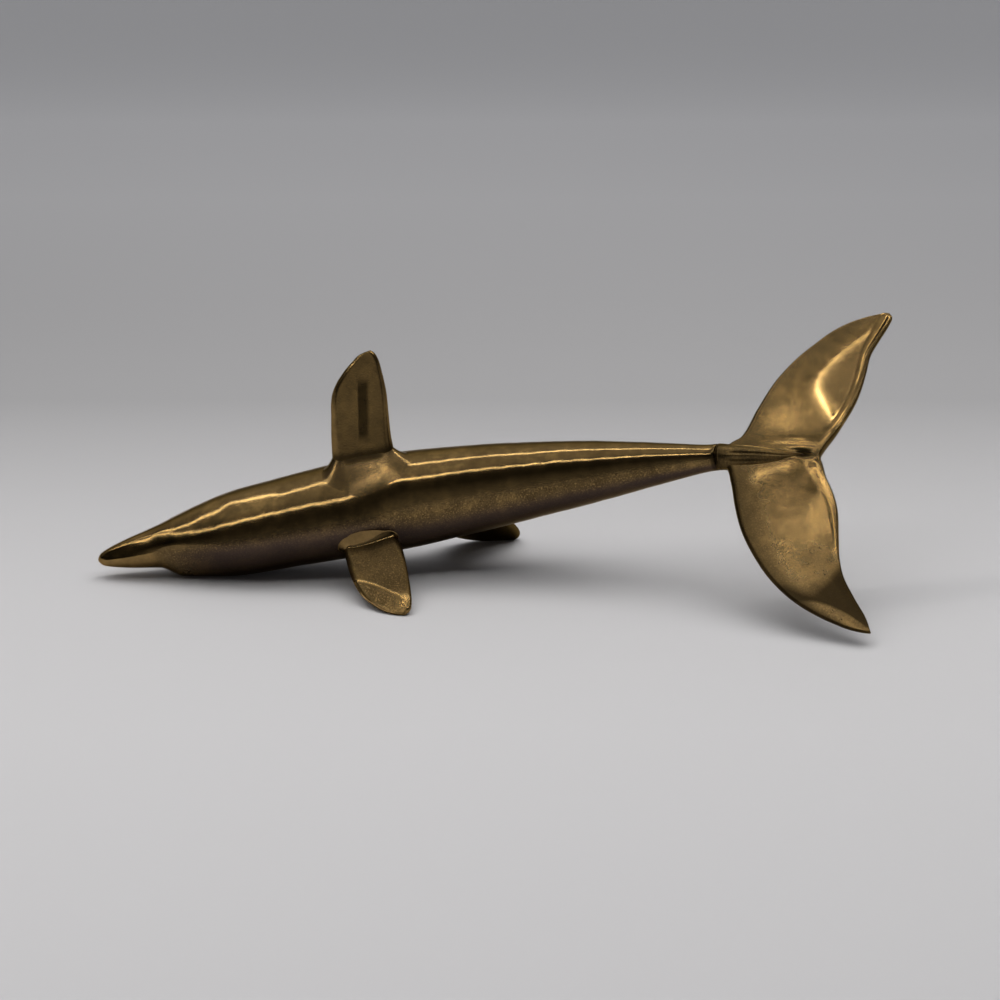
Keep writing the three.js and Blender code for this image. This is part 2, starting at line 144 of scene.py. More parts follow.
# Slow waves left by the file: height, turns per millimetre and round the body, start
FILE_WAVES = [(0.03, 0.24, 2, 0), (0.018, 0.41, -3, 2), (0.01, 0.93, 5, 0)]
# File marks on the left of the belly: distance from the snout, angle, half length, half width, height
FILE_MARKS = [(21.5, 165, 4.0, 16, 0.16), (33.0, 158, 4.0, 14, 0.1), (42.5, 152, 4.5, 16, 0.32),
              (51.5, 149, 4.0, 16, 0.24), (60.5, 153, 4.5, 16, -0.12)]


def file_marks(u, angle):
    """Sine waves that die out towards both ends, and hills, each a bell along and round the body."""
    x = u * SPINE_LENGTH
    marks = sum(height * np.sin(x * run + angle * turns + start) for height, run, turns, start in FILE_WAVES)
    marks = marks * between(u, 0.07, 0.12, 0.85, 0.95)
    for place, turn, length, width, height in FILE_MARKS:
        marks = marks + height * bell(x - place, length) * bell(angle - np.radians(turn), np.radians(width))
    return marks


def past_edge(distance, soft):
    """Distance past an edge, 0 before it, rounded off at the edge itself."""
    return (np.sqrt(distance**2 + soft**2) + distance) / 2


# The flat filed along the top of the beak: how far out it lies as a share of the radius, the way it faces,
# how soft its edge is, the least cosine it is cut at, and where on the spine it begins and ends
BEAK_FLAT, BEAK_FACING, BEAK_SOFT, BEAK_LEAST = 0.91, np.radians(192), 0.12, 0.3
BEAK_RUN = (0.004, 0.02, 0.04, 0.13)


def skin_radius(u, angle):
    """Radius of the finished skin: the bare one less what the beak's flat cuts off, plus the file marks."""
    bare = bare_radius(u, angle)
    flat = BEAK_FLAT * along(GIRTH, u) / np.maximum(np.cos(angle - BEAK_FACING), BEAK_LEAST)
    return bare - past_edge(bare - flat, BEAK_SOFT) * between(u, *BEAK_RUN) + file_marks(u, angle)


def skin_point(u, angle, above=0.0):
    """Point above the finished skin, on the spoke at an angle from the back at a fraction of the spine."""
    middle, _, left, belly = carried_axes(SPINE_HANDLES, u)
    return middle + (skin_radius(u, angle % (2 * np.pi)) + above)[..., None] * spokes(left, belly, angle)


# Where each fin stands: fraction of the spine, angle from the back, cant, and its foot's run ahead and behind
FIN_SEATS = {
    "left_pectoral": (0.436, np.pi - np.radians(37), np.radians(-13), 10.3, 9.0),
    "right_pectoral": (0.436, np.pi + np.radians(71.5), 0.0, 10.3, 9.0),
    "dorsal": (0.579, 0.0, 0.0, 13.0, 9.0),
}


def fin_axes(name):
    """Where a fin's middle line starts, the tail direction, the fin's own direction out, out x tail, and the
    body's radius there: the fin stands square to the skin at its angle, then turns by the cant about its
    root."""
    at, angle, cant = FIN_SEATS[name][:3]
    point, tail, left, belly = carried_axes(SPINE_HANDLES, at)
    square = spokes(left, belly, angle)
    out = square * np.cos(cant) + np.cross(tail, square) * np.sin(cant)
    radius = float(bare_radius(at, angle))
    return point + (square - out) * radius, tail, out, np.cross(out, tail), radius


def pin_middle(name):
    """The middle of a fin's pin: half way between the ends of the fin's foot, at the bare skin."""
    ahead, behind = FIN_SEATS[name][3:]
    point, tail, out, _, radius = fin_axes(name)
    return point + tail * (behind - ahead) / 2 + out * radius


def node_middle(name):
    """The mean of a CAD node's different corner points."""
    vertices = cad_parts[name].data.vertices
    corners = np.empty(len(vertices) * 3)
    vertices.foreach_get("co", corners)
    return np.unique(corners.reshape(-1, 3).round(6), axis=0).mean(0)


# The four pins sit at known places of the swimming figure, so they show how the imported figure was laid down.
# The best turn between the two sets of points comes from the singular vectors of their products.
PIN_NAMES = ["left_pectoral_pin", "right_pectoral_pin", "dorsal_pin", "tail_pin"]
joint_point, joint_tail, joint_left, joint_belly = carried_axes(SPINE_HANDLES, TAIL_JOINT)
swimming = np.array([pin_middle(name) for name in FIN_SEATS] + [joint_point])
laid = np.array([node_middle(name) for name in PIN_NAMES])
u_side, _, v_side = np.linalg.svd((swimming - swimming.mean(0)).T @ (laid - laid.mean(0)))
turn = u_side @ np.diag([1, 1, np.linalg.det(u_side @ v_side)]) @ v_side
shift = laid.mean(0) - swimming.mean(0) @ turn * MILLIMETRE


def lay(points):
    """Points of the swimming figure, turned and moved to where it lies, in metres, the lowest rubbed flat."""
    placed = points @ turn * MILLIMETRE + shift
    placed[..., 2] = np.maximum(placed[..., 2], 0)
    return placed


def set_down(name, data):
    """New object with its data, at the origin of the scene."""
    piece = bpy.data.objects.new(name, data)
    bpy.context.scene.collection.objects.link(piece)
    return piece


def grid_faces(rows, columns, closed):
    """Four-cornered faces of a grid of points; where it is closed, the last column joins the first."""
    i, j = np.meshgrid(np.arange(rows - 1), np.arange(columns - (not closed)), indexing="ij")
    k = (j + 1) % columns
    corners = [i * columns + j, i * columns + k, (i + 1) * columns + k, (i + 1) * columns + j]
    return np.stack(corners, -1).reshape(-1, 4).tolist()


def skin(name, grid, marks):
    """Closed smooth mesh over a grid of points whose columns wrap round, with a fan of triangles on each end
    row and the marks as attributes."""
    rows, count = grid.shape[:2]
    points = np.concatenate([grid.reshape(-1, 3), grid[[0, -1]].mean(1)])
    j = np.arange(count)
    k = (j + 1) % count
    tip = rows * count
    first_fan = np.stack([k, j, j * 0 + tip], -1)
    last_fan = np.stack([tip - count + j, tip - count + k, j * 0 + tip + 1], -1)
    mesh = bpy.data.meshes.new(name)
    mesh.from_pydata(lay(points), [], grid_faces(rows, count, True) + first_fan.tolist() + last_fan.tolist())
    mesh.shade_smooth()
    for mark, values in marks.items():
        flat = np.concatenate([values.ravel(), values[[0, -1]].mean(1)]).astype(np.float32)
        mesh.attributes.new(mark, "FLOAT", "POINT").data.foreach_set("value", flat)
    return set_down(name, mesh)


def fit(piece, metal, node):
    """Give a piece its metal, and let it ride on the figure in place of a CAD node."""
    piece.data.materials.append(metal)
    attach(piece, "root")
    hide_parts(node)


def add_node(tree, kind, inputs, **settings):
    """New shader node with its settings; each input is a plain value, or another node's output to link."""
    node = tree.nodes.new("ShaderNode" + kind)
    for key, value in settings.items():
        setattr(node, key, value)
    for socket, value in inputs.items():
        if isinstance(value, bpy.types.NodeSocket):
            tree.links.new(value, node.inputs[socket])
        else:
            node.inputs[socket].default_value = value
    return node


def maths(tree, operation, a, b, clamp=False):
    """Result of one sum on two values, each a number or an output."""
    return add_node(tree, "Math", {0: a, 1: b}, operation=operation, use_clamp=clamp).outputs[0]


def ramp(tree, value, stops):
    """Colour read from a row of stops, each a position and a colour."""
    node = add_node(tree, "ValToRGB", {"Fac": value})
    elements = node.color_ramp.elements
    while len(elements) < len(stops):
        elements.new(0.5)
    for element, (position, colour) in zip(elements, stops):
        element.position = position
        element.color = (*colour, 1)
    return node.outputs["Color"]


def blend(tree, share, under, over):
    """Colour output with a share of a plain colour laid over it."""
    return add_node(tree, "Mix", {0: share, 6: under, 7: (*over, 1)}, data_type="RGBA").outputs[2]


# Dark colour of stains and of painted shade; purple of the right flank's painted shade
TARNISH_AND_SHADE, PAINTED_SHADE_COLOUR = (0.017, 0.0115, 0.005), (0.062, 0.043, 0.04)
GLANCE_TINT = (0.8, 0.68, 0.5, 1)
# Noise in the metal: scale, detail, roughness and distortion
CLOUD, MOTTLE, GRAIN = (52, 4, 0.55, 0.6), (330, 5, 0.6, 0.0), (2200, 2, 0.6, 0.0)
LUMP_HEIGHT, GRAIN_HEIGHT = 0.000011, 0.00004


def cast_brass(name, deep, middle, worn, rough):
    """Aged brass: clouds of brown patina over metal, sand grain, fine pits, worn gold where the wear mark is
    high, which also paints highlights, then the painted purple shade of the flank, and the dark colour that
    paints both stain and shade."""
    material = bpy.data.materials.new(name)
    material.use_nodes = True
    tree = material.node_tree
    shader = tree.nodes["Principled BSDF"]
    shader.inputs["Metallic"].default_value = 1.0
    shader.inputs["Specular Tint"].default_value = GLANCE_TINT
    place = add_node(tree, "TexCoord", {}).outputs["Object"]

    def noise(scale, detail, roughness, distortion):
        inputs = {"Vector": place, "Scale": scale, "Detail": detail, "Roughness": roughness,
                  "Distortion": distortion}
        return add_node(tree, "TexNoise", inputs).outputs["Fac"]

    def mark(which):
        return add_node(tree, "Attribute", {}, attribute_name=which).outputs["Fac"]

    def plus(a, b, clamp=False):
        return maths(tree, "ADD", a, b, clamp)

    def times(a, b, clamp=False):
        return maths(tree, "MULTIPLY", a, b, clamp)

    cloud, mottle, grain = noise(*CLOUD), noise(*MOTTLE), noise(*GRAIN)
    sand, wear_and_highlight, stain_and_shade = mark("sand"), mark("wear_and_highlight"), mark("stain_and_shade")
    patina = plus(times(cloud, 0.62), times(mottle, 0.38))
    pit = times(maths(tree, "SUBTRACT", 0.49, grain), 4.0, True)
    glint = times(maths(tree, "SUBTRACT", grain, 0.56), 8.0, True)
    colour = ramp(tree, patina, [(0.3, deep), (0.5, middle), (0.72, worn)])
    # The worn gold also paints highlights on crests, rims, creases and fillet toes
    colour = blend(tree, times(wear_and_highlight, times(mottle, 1.25), True), colour, worn)
    colour = blend(tree, times(pit, times(sand, 0.7)), colour, tuple(0.4 * part for part in deep))
    colour = blend(tree, times(glint, sand), colour, worn)
    # Painted shade: purple-dark where the right flank mirrors the shadowed floor
    colour = blend(tree, mark("painted_flank_shade"), colour, PAINTED_SHADE_COLOUR)
    # The dark stain colour also paints shade in creases, on the dorsal fin, the left fin and the flukes
    colour = blend(tree, stain_and_shade, colour, TARNISH_AND_SHADE)
    dull = plus(times(mottle, 0.1), rough - 0.05)
    dull = plus(plus(dull, times(sand, 0.2)), times(stain_and_shade, 0.15), True)
    lumps = add_node(tree, "Bump", {"Distance": LUMP_HEIGHT, "Height": mottle})
    sandy = add_node(tree, "Bump", {"Distance": GRAIN_HEIGHT, "Height": times(grain, plus(sand, 0.18)),
                                    "Normal": lumps.outputs[0]})
    tree.links.new(colour, shader.inputs["Base Color"])
    tree.links.new(dull, shader.inputs["Roughness"])
    tree.links.new(sandy.outputs[0], shader.inputs["Normal"])
    return material


brass = cast_brass("cast_brass", (0.075, 0.049, 0.021), (0.138, 0.092, 0.039), (0.33, 0.208, 0.076), 0.1)

# Rows lie closer together towards the snout, which ends in a small round
share = np.linspace(0, 1, BODY_ROWS)
stock_end = TAIL_JOINT - 1.5 * JOINT_SHOULDER / SPINE_LENGTH
u = (stock_end * (0.15 * share + 0.85 * share**2))[:, None]
around = np.linspace(0, 2 * np.pi, BODY_COLUMNS, endpoint=False)[None, :]
nose = np.sqrt(1 - np.clip(1 - u * SPINE_LENGTH / SNOUT_ROUND, 0, 1) ** 2)
middle, _, left, belly = (part[:, None] for part in carried_axes(SPINE_HANDLES, u[:, 0]))
barrel = middle + (skin_radius(u, around) * nose)[..., None] * spokes(left, belly, around)

# Joint line at the tail: least depth, depth where it stands open, the way that faces, half width of its floor
JOINT_FLUSH, JOINT_OPEN, JOINT_FACING, JOINT_FLOOR = 0.05, 0.8, np.pi + 0.25, 0.12
stock_radius = float(bare_radius(TAIL_JOINT, 0))
joint_spokes = spokes(joint_left, joint_belly, around)


def joint_depth(angle):
    """Depth of the joint line: dressed almost flush where the braze filled it, open a little right of the
    belly, with a ripple of five waves."""
    ripple = 0.12 * np.sin(5 * angle + 1)
    return JOINT_FLUSH + (JOINT_OPEN + ripple) * ease(np.cos(angle - JOINT_FACING), 0.3, 0.9)


def shoulder(side):
    """Rings closing on the joint line from one side: a quarter round of the joint's depth, uneven in three
    waves, then its floor."""
    steps = np.linspace(0, np.pi / 2, SHOULDER_ROWS)[:, None]
    reach = 0.75 + 0.25 * np.sin(3 * around + 0.4)
    closed = np.sin(steps) ** 1.2 * reach ** (1 - np.sin(steps))
    distance = side * (JOINT_SHOULDER - (JOINT_SHOULDER - JOINT_FLOOR) * closed)
    across = stock_radius - joint_depth(around) * (1 - np.cos(steps))
    return joint_point + distance[..., None] * joint_tail + across[..., None] * joint_spokes


# The right flank keeps its sand and is painted a purple-brown shade where it mirrors the shadowed floor;
# the top and the beak are worn, the beak also lightened as a painted reflection; the joint is stained
stock = np.concatenate([barrel, shoulder(-1)])
rows = np.concatenate([u[:, 0], np.full(SHOULDER_ROWS, stock_end)])[:, None]
in_joint = np.arange(len(stock))[:, None] >= BODY_ROWS
round_back = np.broadcast_to(around, stock.shape[:2])
flank = between(round_back, 3.5, 3.95, 5.7, 6.2)
# Painted shade on the right flank, which stands in for the shadowed floor it mirrors
painted_shade_band = ease(round_back - 0.28 * ease(rows, 0.4, 0.52), 3.7, 4.15)
body_marks = {
    "sand": 0.1 + 0.9 * flank * ease(rows, 0.05, 0.16),
    # The beak's wear is partly real and partly a painted reflection that lightens it
    "wear_and_highlight": (0.3 * (1 - flank) + 0.6 * (1 - ease(rows, 0.05, 0.11))
             + 0.5 * flank * (1 - ease(rows, 0.07, 0.12))),
    "stain_and_shade": 0.6 * in_joint + 0 * flank,
    # Painted shade, strongest low on the right flank
    "painted_flank_shade": 0.85 * painted_shade_band * (1 - ease(round_back, 5.7, 6.2)) * ease(rows, 0.08, 0.2),
}
fit(skin("body_casting_skin", stock, body_marks), brass, "body_casting")

# ---- Fins --------------------------------------------------------------------------------------------
# Two pectoral fins and a dorsal fin, each cast flat in brass and filed to a rounded edge.
# Every fin sits on a pin in the body's skin. The left fin has a scoop filed in its back face, and the
# right fin's belly face is dished up to a crease, from which its tip is ground to a bevel.

FIN_FACE, FIN_EDGE, FIN_ROWS = 46, 14, 150
FACE_CROWN = 0.16


def slice_ring(face_columns, edge_columns):
    """Once round a blade's slice, belly face first: the run along its faces from -1 to 1, and the chord and
    lift of the half rounds between them."""
    face = np.linspace(-1, 1, face_columns)
    arc = np.linspace(-np.pi / 2, np.pi / 2, edge_columns + 2)[1:-1]
    flat, bend = np.ones(face_columns), np.ones(edge_columns)
    run = np.concatenate([-face, -bend, face, bend])
    chord = np.concatenate([0 * flat, -np.cos(arc), 0 * flat, np.cos(arc)])
    lift = np.concatenate([flat, -np.sin(arc), -flat, np.sin(arc)])
    return run, chord, lift


def flat_oval(lead, trail, half):
    """Slice of a fin: two straight faces between half rounds, as chord and lift, and which way each faces."""
    run, chord, lift = slice_ring(FIN_FACE, FIN_EDGE)
    round_ = np.minimum(half, (trail - lead) / 2)
    centre, core = (lead + trail) / 2, (trail - lead) / 2 - round_
    return centre + core * run + round_ * chord, round_ * lift, chord, lift


def fin_outline(fin, part):
    """Leading and trailing edge and half thickness of a fin part way to its tip, from its knots."""
    half = (fin["root"] + (fin["tip"] - fin["root"]) * part) / 2
    return along(fin["lead"], part), along(fin["trail"], part), half


def fin_points(axes, chord, lift, distance):
    """Points of a fin: its start, plus chord times tail, lift times across and distance times out."""
    point, tail, out, across, _ = axes
    return point + chord[..., None] * tail + lift[..., None] * across + distance[..., None] * out


def seat(name, chord, lift):
    """Where a place on a fin's slice meets the skin, by repeated correction: the distance along the fin, the
    fraction of the spine and the angle from the back."""
    axes = fin_axes(name)
    distance = np.full(np.shape(chord), axes[-1])
    u = np.full(np.shape(chord), FIN_SEATS[name][0])
    for _ in range(25):
        middle, tail, left, belly = carried_axes(SPINE_HANDLES, u)
        away = fin_points(axes, chord, lift, distance) - middle
        y, z = (away * left).sum(-1), (away * belly).sum(-1)
        angle = np.arctan2(y, -z) % (2 * np.pi)
        distance = distance + 0.9 * (skin_radius(u, angle) - np.hypot(y, z))
        u = u + (away * tail).sum(-1) / SPINE_LENGTH
    return distance, u, angle


def fin_face(fin, foot, part):
    """Surface of a fin part way from foot to tip: chord, lift with crowned faces, distance along the fin, and
    how far each place belongs to the leading or trailing edge."""
    lead, trail, half = fin_outline(fin, part)
    chord, lift, edge, _ = flat_oval(lead, trail, half)
    middle = (2 * chord - lead - trail) / np.maximum(trail - lead, 1e-6)
    crown = 1 - FACE_CROWN * np.clip(middle, -1, 1) ** 2
    return chord, lift * crown, foot + (fin["reach"] - foot) * part, edge


SCOOP_START, SCOOP_CHORD, SCOOP_SLOPE, SCOOP_DEPTH = 20.5, 1.45, 0.167, 0.15


def left_relief(chord, distance, lift):
    """Left fin's back face: a scoop with a sharp front wall that leans with the fin, a dark stripe in it that
    is a painted reflection, and painted shade at the foot."""
    past = chord - SCOOP_CHORD - (distance - SCOOP_START) * SCOOP_SLOPE
    # The scoop's dark is a painted reflection, the foot's dark is painted shade
    scoop = between(past, -1.8, -1.5, 0.6, 2.2) * between(distance, SCOOP_START, 24, 37, 41.5) * (lift < 0)
    foot = (0.6 * (1 - ease(distance, 17.6, 20)) + 0.25 * (1 - ease(distance, 19, 32))) * (lift < 0)
    return -SCOOP_DEPTH * scoop, np.maximum(0.8 * scoop, foot), 0 * scoop


# The crease on the right fin: chord, distance along the fin
CREASE = [[-14, 29], [-8, 31], [-2.7, 33.7], [2.3, 37.9], [5.7, 41.6], [6.5, 44.7]]
DISH_START, DISH_DEPTH, DEEPEST = 15, 0.45, 1.3


def right_relief(chord, distance, lift):
    """Right fin's belly face: a sine-squared dish, darkened up to the crease and near the root, a worn corner,
    a crease that is worn and lit by a painted highlight, and a bevel from the crease to the tip."""
    crease = along(CREASE, chord)
    past = distance - crease
    bevel = (0.24 - 0.11 * ease(chord, 1, 7)) * past_edge(past, 0.3)
    dish = DISH_DEPTH * np.sin(np.pi * np.clip((distance - DISH_START) / (crease - DISH_START), 0, 1)) ** 2
    upper = lift > 0
    # Darker up to the crease and near the root; the crease's wear is partly a painted highlight
    stain_and_shade = 0.62 * (1 - ease(past, -1.5, 0)) + 0.25 * bell(chord, 6) * (1 - ease(distance, 18, 28))
    worn = bell(past, 0.6) + 0.95 * bell(chord - 6.2, 3) * bell(distance - 41.6, 2.6)
    return -np.minimum(bevel + dish, DEEPEST) * upper, stain_and_shade * (1 - np.minimum(worn, 1)) * upper, worn * upper


def plain_relief(chord, distance, lift):
    """Dorsal fin: no relief, painted dark all over as shade, since it lies under the body."""
    return 0 * chord, 0.7 + 0 * chord, 0 * chord


# Each fin: its length from the spine, thickness at root and tip, finish, and its edges by knots (part of the
# way from foot to tip, distance towards the tail)
fins = {
    "left_pectoral": dict(
        # The left fin's high wear lightens its whole face, partly as a painted reflection of the floor
        reach=47.3, root=6.8, tip=2.3, wear_and_highlight=1.0, sand=0.3, relief=left_relief,
        lead=[[0, -9.2], [0.164, -8.6], [0.438, -7.1], [0.682, -5.1], [0.806, -2.1], [0.923, 2.2],
              [0.988, 5.9], [1, 8.0]],
        trail=[[0, 9.7], [0.2, 9.6], [0.4, 10.1], [0.6, 10.6], [0.79, 10.4], [0.92, 9.9], [0.98, 9.0],
               [1, 8.2]]),
    "right_pectoral": dict(
        reach=46.0, root=4.4, tip=2.3, wear_and_highlight=0.1, sand=1.0, relief=right_relief,
        lead=[[0, -10.2], [0.1, -9.7], [0.31, -9], [0.5, -7.8], [0.69, -5.6], [0.83, -2.5], [0.94, 1.2],
              [0.99, 4.5], [1, 5.6]],
        trail=[[0, 5.8], [0.1, 7.0], [0.29, 7.8], [0.49, 8.1], [0.73, 8.3], [0.9, 8.0], [0.97, 7.2],
               [1, 5.8]]),
    "dorsal": dict(
        reach=37.4, root=4.6, tip=2.6, wear_and_highlight=0.1, sand=0.5, relief=plain_relief,
        lead=[[0, -13], [0.3, -11.8], [0.5, -9.6], [0.7, -5.8], [0.85, -1.2], [0.95, 4.2], [0.99, 8.5],
              [1, 11.9]],
        trail=[[0, 9], [0.3, 10.2], [0.5, 11.4], [0.7, 12.9], [0.85, 13.6], [0.95, 13.5], [0.99, 12.9],
               [1, 12.1]]),
}


def root_slice(fin):
    """A fin's slice at its foot, as flat_oval gives it."""
    return flat_oval(*fin_outline(fin, np.zeros((1, 1))))


# Rows start a little inside the body and lie closer together towards the tip
part = np.sin(np.linspace(-0.05, 0.998, FIN_ROWS) * np.pi / 2)[:, None]
for name, fin in fins.items():
    root_chord, root_lift, _, _ = root_slice(fin)
    chord, lift, distance, edge = fin_face(fin, seat(name, root_chord, root_lift)[0], part)
    raised, stain_and_shade, worn = fin["relief"](chord, distance, lift)
    lift = lift + np.sign(lift) * raised * np.minimum(1, np.abs(lift))
    rim = ease(np.broadcast_to(np.abs(edge), chord.shape), 0.2, 0.8) * ease(part, 0.05, 0.3)
    fin_marks = {
        "sand": np.clip(fin["sand"] + 0.2 * ease(part, 0.5, 1) - worn, 0, 1),
        "wear_and_highlight": np.clip(worn + fin["wear_and_highlight"] + 0.75 * rim + 0.4 * ease(part, 0.8, 1), 0, 1),
        "stain_and_shade": stain_and_shade,
    }
    # Columns run the other way round, so that the faces point outwards
    grid = fin_points(fin_axes(name), chord, lift, distance)[:, ::-1]
    fin_marks = {mark: values[:, ::-1] for mark, values in fin_marks.items()}
    fit(skin(name + "_fin_skin", grid, fin_marks), brass, name + "_fin")

# ---- Fin brazing -------------------------------------------------------------------------------------
# Brass brazing metal run round each fin root and dressed with a round file.
# It sweeps from the skin up the fin in one hollow fillet, widest below the left fin's back face.

braze = cast_brass("braze_metal", (0.08, 0.052, 0.023), (0.148, 0.098, 0.042), (0.34, 0.215, 0.08), 0.1)
# Legs: the leg on the skin and the leg up the fin, at the leading end, trailing end, belly face and back
# face. Hollow: the shares of its legs that the fillet's curve follows. Slim: how much narrower it gets
# towards its ends. Lean: how far forward the widest place lies. Web: how far the back face is filled out.
fillets = {
    "left_pectoral": dict(legs=[(2.2, 4.0), (4.5, 3.2), (3.0, 2.6), (12.8, 3.8)],
                          hollow=(0.45, 0.1), slim=0.5, lean=0.0, web=0.28),
    "right_pectoral": dict(legs=[(0.6, 1.2), (1.0, 2.0), (3.8, 1.8), (3.0, 2.2)],
                           hollow=(0.36, 0.45), slim=0.75, lean=0.25, web=0.0),
    "dorsal": dict(legs=[(3.0, 3.0)] * 4, hollow=(0.62, 0.7), slim=0.0, lean=0.0, web=0.0),
}
FILLET_ROWS, SLIMMEST, FIN_LEG_SLIM = 40, 0.12, 0.25
UNDER_SKIN, TOE_SUNK, TOP_SUNK = 0.8, 0.02, 0.06
SMOOTH_HALF = 12
smoothing = np.hanning(2 * SMOOTH_HALF + 1)
smoothing = smoothing / smoothing.sum()


def beside_fin(foot_line, leg, above=0.0):
    """Points of the skin a leg's length away from a fin's outline, along and round the body."""
    at_u, at_angle, edge, face, radius = foot_line
    return skin_point(at_u + leg * edge / SPINE_LENGTH, at_angle - leg * face / radius, above)


for name, fin in fins.items():
    fillet = fillets[name]
    axes = fin_axes(name)
    _, tail, out, across, radius = axes
    chord, lift, edge, face = root_slice(fin)
    foot, at_u, at_angle = (values[0] for values in seat(name, chord, lift))
    foot_line = at_u, at_angle, edge, face, radius

    # How far each column belongs to the leading end, trailing end, belly face and back face
    weights = np.stack([np.minimum(edge, 0) ** 2, np.maximum(edge, 0) ** 2,
                        np.maximum(face, 0) ** 2, np.minimum(face, 0) ** 2])
    wrapped = np.concatenate([weights[:, -SMOOTH_HALF:], weights, weights[:, :SMOOTH_HALF]], 1)
    weights = np.stack([np.convolve(row, smoothing, "valid") for row in wrapped])
    belly_face, back_face = weights[2:]
    lead, trail = fin["lead"][0][1], fin["trail"][0][1]
    middle = (2 * chord[0] - lead - trail) / (trail - lead)
    slim = (middle + fillet["lean"]) ** 2 * (belly_face + back_face)
    skin_leg, fin_leg = np.array(fillet["legs"]).T @ weights
    skin_leg = skin_leg * np.maximum(1 - fillet["slim"] * slim, SLIMMEST)
    fin_leg = fin_leg * (1 - FIN_LEG_SLIM * slim)

    # A Bezier curve in each column, from the toe on the skin to the top on the fin
    toe = beside_fin(foot_line, skin_leg, -TOE_SUNK)
    before_toe = beside_fin(foot_line, skin_leg * 0.97, -TOE_SUNK)
    corner = beside_fin(foot_line, 0 * skin_leg)
    top_part = (fin_leg / (fin["reach"] - foot))[None]
    top = fin_points(axes, *(values[0] for values in fin_face(fin, foot, top_part)[:3]))
    inward = (edge[:, None] * tail + face[:, None] * across) * TOP_SUNK
    skin_hollow, fin_hollow = fillet["hollow"]
    toe_handle = toe + unit(before_toe - toe) * (skin_hollow * skin_leg)[:, None]
    top_handle = top + (corner - top) * fin_hollow + (toe - top) * (fillet["web"] * back_face)[:, None]
    bend = np.linspace(0, 1, FILLET_ROWS)[:, None, None]
    sweep = bezier((toe, toe_handle, top_handle, top - inward), bend)
    under = np.stack([corner - UNDER_SKIN * out - 6 * inward, beside_fin(foot_line, skin_leg, -UNDER_SKIN)])
    grid = np.concatenate([under, sweep])

    # The web is sandy and stained at its toe, and the crease below the left fin is painted dark as shade. The
    # other fillets are worn, and on the belly faces, most of all at the toe, the wear also paints a highlight.
    climb = np.concatenate([[[1], [0]], bend[:, :, 0]]) + 0 * grid[..., 0]
    web = back_face * (fillet["web"] > 0)
    # Painted shade: the crease below the left fin is painted dark
    crease = ease(climb, 0.72, 0.93) * web
    web = web * ease(climb, 0.0, 0.12)
    # Painted highlight, with the wear, along the toe on the belly faces
    toe_line = belly_face * (1 - ease(climb, 0.03, 0.14))
    fillet_marks = {
        "sand": 0.1 + 0.3 * web,
        "wear_and_highlight": (0.25 + 0.35 * belly_face + 0.4 * toe_line) * (1 - web),
        "stain_and_shade": np.clip(0.95 * crease + 0.5 * web * (1 - ease(climb, 0.2, 0.6)), 0, 0.95),
    }
    fit(skin(name + "_braze_fillet", grid, fillet_marks), braze, name + "_braze")

# ---- Tail flukes -------------------------------------------------------------------------------------
# One brass casting: two lobes spread to the sides, and the keel that carries the stock between them.
# The lobes are hollowed by the file on the belly face and end in a thick rolled rim.

FLUKE_LIFT = np.radians(18.2)
ROOT_THICK, TIP_THICK, LEAST_CHORD = 5.0, 2.2, 0.2
# Edges of the two lobes: distance from the keel, distance back
LEFT_LEAD = [[0, -0.8], [3, -0.6], [4.2, 0.6], [5.4, 2.4], [7.2, 3.7], [15.5, 7], [27, 12.7], [37.3, 21.1],
             [46.2, 32.2], [49.2, 40], [49.9, 43.1]]
LEFT_TRAIL = [[0, 26.4], [1.3, 26.4], [3.4, 27.3], [7.9, 29.9], [13.9, 32.9], [19.2, 35.2], [24.4, 36.7],
              [28.9, 37.6], [35.8, 38.8], [40.4, 40.8], [46.6, 43.7], [48.5, 44.2], [49.9, 43.2]]
RIGHT_LEAD = [[0, -0.6], [3.6, -0.4], [4.8, 0.2], [6.2, 0.7], [7.4, 1.0], [9.5, 1.6], [16.5, 3.2],
              [24.1, 5.7], [32, 10], [38.5, 14.8], [44.1, 20.8], [47.7, 26.5], [50.5, 32.7], [52.3, 38.7],
              [52.75, 42.4]]
RIGHT_TRAIL = [[0, 26.4], [1.6, 27.1], [5.1, 28.1], [10.6, 30.6], [15.4, 32], [23.6, 32.8], [30.4, 33.4],
               [36.4, 34.9], [42.8, 38.2], [48.5, 41.5], [52.75, 43]]
LEFT_SPAN, RIGHT_SPAN = LEFT_LEAD[-1][0], RIGHT_LEAD[-1][0]
LOBE_ROWS, LOBE_FACE, LOBE_EDGE = 300, 150, 16
# The right lobe curls up by this much per square of the distance past a start; the trailing edge's roundness
TIP_CURL, CURL_START, TRAIL_ROUND = 0.0011, 5, 0.4

fluke_root, fluke_tail, fluke_left, fluke_up = carried_axes(SPINE_HANDLES, 1.0)
fluke_back = np.cos(FLUKE_LIFT) * fluke_tail - np.sin(FLUKE_LIFT) * fluke_up
fluke_belly = np.cross(fluke_back, fluke_left)


def fluke_edges(side):
    """Leading edge, trailing edge and half thickness at a distance to the left of the keel, each lobe by its
    knots, the thickness falling with the root of the share of the span."""
    lead = np.where(side > 0, along(LEFT_LEAD, side), along(RIGHT_LEAD, -side))
    trail = np.where(side > 0, along(LEFT_TRAIL, side), along(RIGHT_TRAIL, -side))
    share = np.clip(side, 0, LEFT_SPAN) / LEFT_SPAN + np.clip(-side, 0, RIGHT_SPAN) / RIGHT_SPAN
    half = (ROOT_THICK + (TIP_THICK - ROOT_THICK) * np.sqrt(share)) / 2
    return np.minimum(lead, trail - LEAST_CHORD), trail, half


